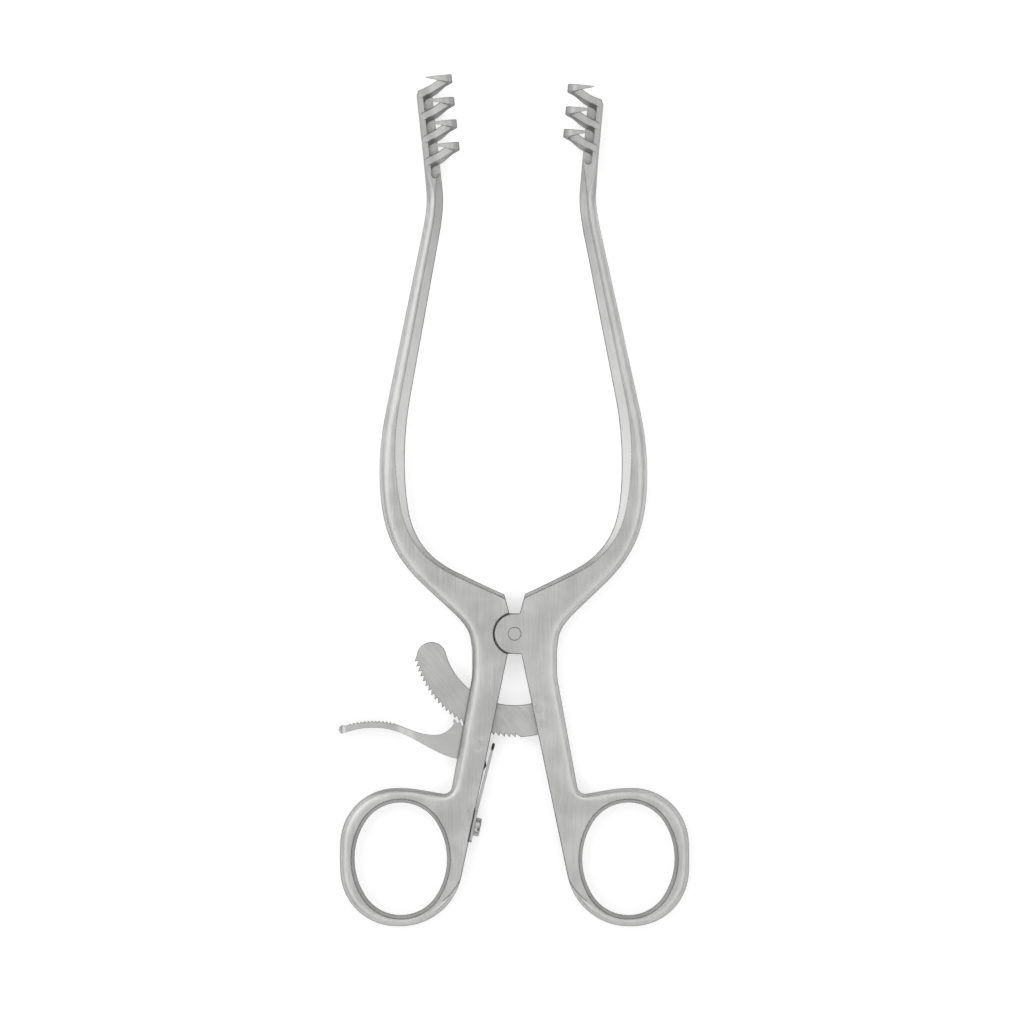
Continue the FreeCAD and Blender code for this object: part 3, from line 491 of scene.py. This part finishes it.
def grained(tree, coords, turn, stroke, blast):
    """The grain and the marks of use, as two group nodes fed by a position."""
    lay = place(tree, "ShaderNodeGroup", node_tree=grain)
    lay.inputs["Turn"].default_value = math.radians(turn)
    lay.inputs["Stroke Length"].default_value = stroke[0]
    lay.inputs["Stroke Width"].default_value = stroke[1]
    lay.inputs["Blast Size"].default_value = blast[0]
    lay.inputs["Blast Share"].default_value = blast[1]
    use = place(tree, "ShaderNodeGroup", node_tree=handling)
    join(tree, coords, lay.inputs["Position"])
    join(tree, coords, use.inputs["Position"])
    return lay, use


def crown_of(tree, coords, broken_edge, edge):
    """Adds a forging's crown to its eased edge; gives the normal and the share of the blade."""
    height = apart(tree, coords)["Y"]
    narrower = ramp(tree, height, BLADE_FROM, edge, BLADE_EDGE)
    flush_pins = place(tree, "ShaderNodeGroup", node_tree=over)
    join(tree, coords, flush_pins.inputs["Position"])
    join(tree, math_node(tree, "MULTIPLY", narrower, flush_pins.outputs["Open"]),
         broken_edge.inputs["Radius"])
    rolled = place(tree, "ShaderNodeGroup", node_tree=crown)
    join(tree, coords, rolled.inputs["Position"])
    join(tree, broken_edge.outputs["Normal"], rolled.inputs["Edge Normal"])
    return rolled.outputs["Normal"], ramp(tree, height, BLADE_FROM)


# %% [markdown]
# The whole recipe
#
# The grain picks a tone between dark and light. Over it lie painted shade on the upright sides
# and a painted dark reflection on the lands of the edges, and the blades are a little darker and
# duller. The same grain sets how rough the metal is and moves its surface up and down by
# hundredths of a millimetre.


# %% Recipe for a steel finish
BLADE_TONE = 0.86
BLADE_DULL = 0.1
# Tone of the painted dark reflection laid on the narrow lands of broken edges.
EDGE_REFLECTION_TONE = 0.2
STROKE_SHARE = 0.65
CLOUD_DULL = 0.06
SCRATCH_DEPTH = 0.5
RELIEF_DEPTH = 0.02 * MM


def steel(name, dark, light, rough, turn, stroke, blast, relief, shade_tone=0.5, edge=0.2, land=0.5,
          crowned=False):
    """Metal with strokes (length, width, mm) at a turn, blast (size mm, share), painted shade on upright
    sides.
    """
    finish = bpy.data.materials.new(name)
    finish.use_nodes = True
    tree = finish.node_tree
    metal = tree.nodes["Principled BSDF"]
    metal.inputs["Metallic"].default_value = 1.0
    coords = place(tree, "ShaderNodeTexCoord").outputs["Object"]
    lay, use = grained(tree, coords, turn, stroke, blast)
    broken_edge = place(tree, "ShaderNodeGroup", node_tree=eased)
    broken_edge.inputs["Radius"].default_value = edge
    rounded = broken_edge.outputs["Normal"]
    if crowned:
        rounded, on_blade = crown_of(tree, coords, broken_edge, edge)

    tone = math_node(tree, "ADD", math_node(tree, "MULTIPLY", lay.outputs["Tone"], STROKE_SHARE),
                     math_node(tree, "MULTIPLY", use.outputs["Cloud"], 1.0 - STROKE_SHARE))
    colour = mix_colours(tree, tone, dark, light)
    sides = place(tree, "ShaderNodeGroup", node_tree=upright)
    join(tree, place(tree, "ShaderNodeTexCoord").outputs["Normal"], sides.inputs["Facing"])
    # Painted shade: faces that stand upright are darkened in the colour.
    colour = mix_colours(tree, sides.outputs["Side"], colour, [value * shade_tone for value in dark])
    # Painted reflection: the lands of broken edges are darkened in the colour, for the dark low belt they
    # mirror; land sets how strongly.
    painted_edge_reflection = math_node(tree, "MULTIPLY", broken_edge.outputs["Edge"], land)
    colour = mix_colours(tree, painted_edge_reflection, colour, [value * EDGE_REFLECTION_TONE for value in dark])
    if crowned:
        colour = mix_colours(tree, on_blade, colour, [BLADE_TONE] * 3, "MULTIPLY")
    join(tree, colour, metal.inputs["Base Color"])

    dull = ramp(tree, lay.outputs["Tone"], (0.0, 1.0), rough[0], rough[1])
    dull = math_node(tree, "ADD", dull, math_node(tree, "MULTIPLY", use.outputs["Cloud"], CLOUD_DULL))
    if crowned:
        dull = math_node(tree, "ADD", dull, math_node(tree, "MULTIPLY", on_blade, BLADE_DULL))
    join(tree, dull, metal.inputs["Roughness"])

    height = math_node(tree, "SUBTRACT", lay.outputs["Height"],
                       math_node(tree, "MULTIPLY", use.outputs["Scratch"], SCRATCH_DEPTH))
    bump = place(tree, "ShaderNodeBump", Strength=relief, Distance=RELIEF_DEPTH)
    join(tree, height, bump.inputs["Height"])
    join(tree, rounded, bump.inputs["Normal"])
    join(tree, bump.outputs[0], metal.inputs["Normal"])
    return finish


# %% [markdown]
# The six finishes
#
# The forgings are satin brushed along their length and crowned. The bar is ground askew. The
# lever has fine cross strokes. Rivets and pins are ground flush, the spring is drawn strip, and
# the screw, turned from bar, is the darkest.

# %% Six finishes from one recipe
satin = steel("satin_steel", (0.57, 0.57, 0.565), (0.81, 0.81, 0.80), (0.31, 0.45), 0.0,
              (8.0, 0.22), (0.18, 0.35), 0.55, edge=0.45, land=1.0, crowned=True)
ground = steel("ground_bar_steel", (0.56, 0.56, 0.555), (0.80, 0.80, 0.79), (0.28, 0.42), -38.0,
               (9.0, 0.16), (0.14, 0.2), 0.7, edge=0.35, land=0.9)
pad = steel("lever_steel", (0.60, 0.60, 0.595), (0.76, 0.76, 0.75), (0.32, 0.42), 78.0,
            (5.0, 0.10), (0.16, 0.5), 0.35, land=0.6)
flush = steel("flush_rivet_steel", (0.62, 0.62, 0.615), (0.74, 0.74, 0.73), (0.34, 0.44), 15.0,
              (4.0, 0.08), (0.12, 0.5), 0.3, land=0.3, edge=0.1)
spring = steel("spring_steel", (0.66, 0.66, 0.66), (0.82, 0.82, 0.815), (0.26, 0.36), -12.0,
               (6.0, 0.06), (0.10, 0.3), 0.3, land=0.2, edge=0.08)
screw = steel("screw_steel", (0.50, 0.50, 0.495), (0.64, 0.64, 0.63), (0.30, 0.40), 60.0,
              (4.0, 0.08), (0.12, 0.4), 0.3, shade_tone=0.7, edge=0.2, land=0.8)
print("finishes:", [material.name for material in bpy.data.materials if "steel" in material.name])

# %% [markdown]
# Painted shade
#
# Where the lever's tail meets the leaf spring, the spring's rounded end turns away and mirrors
# the dark, and the tail's tip lies in shade; both are painted nearly black into their colour.
# The photograph shows the spring's rounded end and the tail's tip nearly black. It also shows a
# nearly black seam between the shank and the spring's foot, where no light gets in. Both are
# masks from a distance: one to a point, the other to a line. A mask in rest coordinates stays
# on the steel when the part moves.


# %% Helpers that darken a place
# Painted shade at the spring's end and the lever tail's tip: its tone and soft edge.
END_SHADE_TONE = 0.05
END_SOFT = 0.8
# Painted shade in the seams: its tone and soft edge.
SEAM_SHADE_TONE = 0.03
SEAM_SOFT = 0.6


def paint_shade(finish, near, shade_tone):
    """Lays painted shade over a finish's colour where the mask near is 1."""
    tree = finish.node_tree
    colour = tree.nodes["Principled BSDF"].inputs["Base Color"]
    polished = colour.links[0].from_socket
    join(tree, mix_colours(tree, near, polished, [shade_tone] * 3), colour)


def paint_end_shade(finish, centre, reach):
    """Paints shade on a steel finish within a reach (m) of a point on the resting instrument."""
    tree = finish.node_tree
    coords = place(tree, "ShaderNodeTexCoord").outputs["Object"]
    gap = vector_node(tree, "DISTANCE", coords, centre)
    paint_shade(finish, ramp(tree, gap, (reach, END_SOFT * reach), smooth=True), END_SHADE_TONE)


def paint_seam_shade(finish, top, foot, reach, depth):
    """Paints shade on a steel finish by a depth of 0 to 1 within a reach (m) of the line from top to foot.
    """
    tree = finish.node_tree
    line = Vector(foot) - Vector(top)
    coords = place(tree, "ShaderNodeTexCoord").outputs["Object"]
    from_top = vector_node(tree, "SUBTRACT", coords, top)
    share = vector_node(tree, "DOT_PRODUCT", from_top, line / line.length_squared)
    share = ramp(tree, share, (0.0, 1.0))
    nearest = place(tree, "ShaderNodeVectorMath", operation="SCALE")
    nearest.inputs[0].default_value = line
    join(tree, share, nearest.inputs["Scale"])
    gap = vector_node(tree, "DISTANCE", from_top, nearest.outputs["Vector"])
    near = ramp(tree, gap, (reach, SEAM_SOFT * reach), 0.0, depth, smooth=True)
    paint_shade(finish, near, SEAM_SHADE_TONE)


# %% [markdown]
# The shank's inner wall
#
# The seam lies on the left shank's inner wall, and the strips further down follow both inner
# walls. Nothing has to be typed for that: a ray sent from the middle line towards a shank stops
# at its wall, and gives the place and the direction in which the wall faces.


# %% Seam and dark ends
SHANK_MIDDLE = 2.5 * MM
FACE_HEIGHT = 5.0 * MM
SEAM_HEIGHTS = (-41.0, -48.6)
SEAM_REACH = 0.42 * MM
SEAM_DEPTH = 0.75
FOOT_WIDTH = 0.8 * MM
FOOT_REACH = 0.6 * MM
FOOT_DEPTH = 0.5
SPRING_END = (-0.0049, -0.0262, 0.0025)
TAIL_END = (-0.0068, -0.0312, 0.0025)
END_REACH = 2.2 * MM


def inner_wall(arm, side, height):
    """Place on an arm's inner wall at a height (mm), and where the wall faces."""
    start = Vector((0.0, height * MM, SHANK_MIDDLE))
    _, wall, lean, _ = nodes[arm].ray_cast(start, Vector((side, 0, 0)))
    return wall, lean


seam = []
for height in SEAM_HEIGHTS:
    wall, _ = inner_wall("left_arm", -1, height)
    seam.append((wall.x, wall.y, FACE_HEIGHT))
# Painted shade in the seam between the left shank and the spring's edge, on the steel of both.
for finish in (satin, spring):
    paint_seam_shade(finish, seam[0], seam[1], SEAM_REACH, SEAM_DEPTH)
leaf_low, leaf_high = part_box("leaf_spring")
# Painted shade across the spring's foot, where it meets the shank.
foot_start = (seam[1][0], leaf_low[1], leaf_high[2])
foot_end = (seam[1][0] + FOOT_WIDTH, leaf_low[1], leaf_high[2])
paint_seam_shade(spring, foot_start, foot_end, FOOT_REACH, FOOT_DEPTH)
# Painted shade, nearly black, on the spring's rounded end and the lever tail's tip.
paint_end_shade(spring, SPRING_END, END_REACH)
paint_end_shade(pad, TAIL_END, END_REACH)
print("seam, mm:", [[round(value / MM, 2) for value in place_of] for place_of in seam])

# %% [markdown]
# Finishes on the nodes
#
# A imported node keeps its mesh, and only gets its material. Both forgings share the satin
# finish, and all the pins and rivets the flush one. The leaf spring is replaced further down,
# by a piece that carries the same finish.

# %% Finishes on the nodes
finish_of = {
    "left_arm": satin,
    "right_arm": satin,
    "ratchet_bar": ground,
    "release_lever": pad,
    "joint_rivet": flush,
    "bar_rivet_upper": flush,
    "bar_rivet_lower": flush,
    "lever_pin": flush,
    "spring_screw": screw,
    "leaf_spring": spring,
}
for name, finish in finish_of.items():
    mesh = nodes[name].data
    mesh.materials.clear()
    mesh.materials.append(finish)
print("finishes on", len(finish_of), "nodes")

# %% [markdown]
# The leaf spring
#
# The real spring is a strip of spring steel, screwed flat to the shank, that bends along its
# length when the lever's tail pushes it. The imported solid is one stiff strip that swings about
# the end of its foot. This piece takes its place: the same strip, cut across into short lengths
# from the clamp up.

# %% Leaf spring cut into lengths
SPRING_CUTS = 16
SHARP = math.radians(30)

clamp = [Vector(joint["pos_m"]) for joint in frame["joints"] if joint["name"] == "spring_flex"][0]
tip = Vector((leaf_high.x, leaf_high.y, clamp.z))
along = tip - clamp

strip = bmesh.new()
strip.from_mesh(nodes["leaf_spring"].data)
bmesh.ops.remove_doubles(strip, verts=strip.verts, dist=0.001 * MM)
for index in range(SPRING_CUTS):
    bmesh.ops.bisect_plane(strip, geom=strip.verts[:] + strip.edges[:] + strip.faces[:],
                           plane_co=clamp + along * (index / SPRING_CUTS), plane_no=along.normalized())
for edge in strip.edges:
    edge.smooth = edge.calc_face_angle(0.0) < SHARP
for face in strip.faces:
    face.smooth = True
spring_mesh = bpy.data.meshes.new("bending_spring")
strip.to_mesh(spring_mesh)
strip.free()
spring_mesh.materials.append(spring)
bending_spring = bpy.data.objects.new("bending_spring", spring_mesh)
bpy.context.scene.collection.objects.link(bending_spring)
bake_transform(bending_spring)
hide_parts("leaf_spring")
print("spring:", len(spring_mesh.vertices), "points")

# %% [markdown]
# Inner edge beside the rings
#
# Each shank keeps a crisp inner edge all the way down beside its ring, and only the ring's foot
# is rounded. On the solids the crisp edge runs out in a small notch by the middle of the ring.
# A slender strip of the same steel fills that notch and carries the edge on, and lays it down
# into the rounding by the ring's foot. It follows the wall, found by looking at it from the
# middle. The strip is closed all round, and all but its two visible sides is sunk in the arm.

# %% Edge strips
STRIP_STATIONS = (-39.5, -42.5, -48.0, -52.0, -55.0, -57.5, -59.5, -61.5, -63.3, -64.8)
STRIP_LAID_FROM = -57.5
STRIP_LAID_BY = -64.8
LEAST_LAID = 0.04
ROUNDING = 1.7 * MM
STRIP_LEVEL = 1.9 * MM
STRIP_WIDTH = 2.5 * MM
STRIP_LOW = 3.2 * MM
STRIP_LIFT = 0.004 * MM
STRIP_SUNK = 0.06 * MM


def strip_profile(height):
    """Section of a strip at a height (mm): pairs of how far into the arm, and how high (m)."""
    laid = (STRIP_LAID_FROM - height) / (STRIP_LAID_FROM - STRIP_LAID_BY)
    drop = ROUNDING * max(LEAST_LAID, min(1.0, laid))
    at_an_end = height in (STRIP_STATIONS[0], STRIP_STATIONS[-1])
    lift = -STRIP_SUNK if at_an_end else STRIP_LIFT
    top = FACE_HEIGHT + lift
    back = FACE_HEIGHT - STRIP_SUNK
    return ((-lift, STRIP_LOW), (-lift, top - drop), (drop, top),
            (STRIP_LEVEL, top), (STRIP_WIDTH, back), (STRIP_WIDTH, STRIP_LOW))


def closed_tube(rows, sides):
    """Faces that join rows of points round a tube, with a face over each end."""
    faces = [list(range(sides))[::-1]]
    for row in range(rows - 1):
        for column in range(sides):
            corner = row * sides + column
            beside = row * sides + (column + 1) % sides
            faces.append([corner, beside, beside + sides, corner + sides])
    faces.append(list(range((rows - 1) * sides, rows * sides)))
    return faces


def edge_strip(name, arm, side):
    """Strip along an arm's inner edge: wall, narrow land and face, laid down towards the end."""
    points = []
    for height in STRIP_STATIONS:
        wall, lean = inner_wall(arm, side, height)
        inwards = Vector((-lean.x, -lean.y, 0)).normalized()
        profile = strip_profile(height)
        for into, z in profile:
            spot = wall + inwards * into
            points.append((spot.x, spot.y, z))
    faces = closed_tube(len(STRIP_STATIONS), len(profile))
    if side > 0:
        faces = [corners[::-1] for corners in faces]
    strip_mesh = bpy.data.meshes.new(name)
    strip_mesh.from_pydata(points, [], faces)
    strip_mesh.materials.append(satin)
    piece = bpy.data.objects.new(name, strip_mesh)
    bpy.context.scene.collection.objects.link(piece)
    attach(piece, arm)
    print(name, len(faces), "faces")


edge_strip("left_arm_inner_edge", "left_arm", -1)
edge_strip("right_arm_inner_edge", "right_arm", 1)

# %% [markdown]
# Ribs of the thumb pad
#
# The thumb mustn't slip, so the pad's top is cut with a row of cross grooves, and the metal
# between them stands up as sharp ribs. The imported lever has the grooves. These ribs sit on the
# lands between them, found by looking down on the solid, and they raise the burr that the
# cutter leaves.

# %% Ribs on the pad
RIB_COUNT = 13
RIB_FROM = -38.63 * MM
RIB_PITCH = 0.86 * MM
RIB_HALF_WIDTH = 0.24 * MM
RIB_HEIGHT = 0.17 * MM
RIB_SINK = 0.05 * MM
RIB_ENDS = (0.45 * MM, 4.55 * MM)
RIB_PROFILE = [(-1.0, -1.0), (-0.45, 0.55), (0.0, 1.0), (0.45, 0.55), (1.0, -1.0)]

points = []
faces = []
for index in range(RIB_COUNT):
    x = RIB_FROM + index * RIB_PITCH
    above = Vector((x, 0.0, sum(RIB_ENDS) / 2))
    _, land, _, _ = nodes["release_lever"].ray_cast(above, Vector((0, -1, 0)))
    first = len(points)
    for z in RIB_ENDS:
        for across, up in RIB_PROFILE:
            rise = RIB_HEIGHT * up if up > 0 else RIB_SINK * up
            points.append((x + across * RIB_HALF_WIDTH, land.y + rise, z))
    sides = len(RIB_PROFILE)
    for side in range(sides):
        after = (side + 1) % sides
        faces.append((first + side, first + sides + side, first + sides + after, first + after))
    faces.append([first + side for side in range(sides)])
    faces.append([first + sides + side for side in reversed(range(sides))])
rib_mesh = bpy.data.meshes.new("thumb_pad_ribs")
rib_mesh.from_pydata(points, [], faces)
rib_mesh.materials.append(pad)
ribs = bpy.data.objects.new("thumb_pad_ribs", rib_mesh)
bpy.context.scene.collection.objects.link(ribs)
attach(ribs, "release_lever")
print("ribs:", RIB_COUNT, "on the pad")
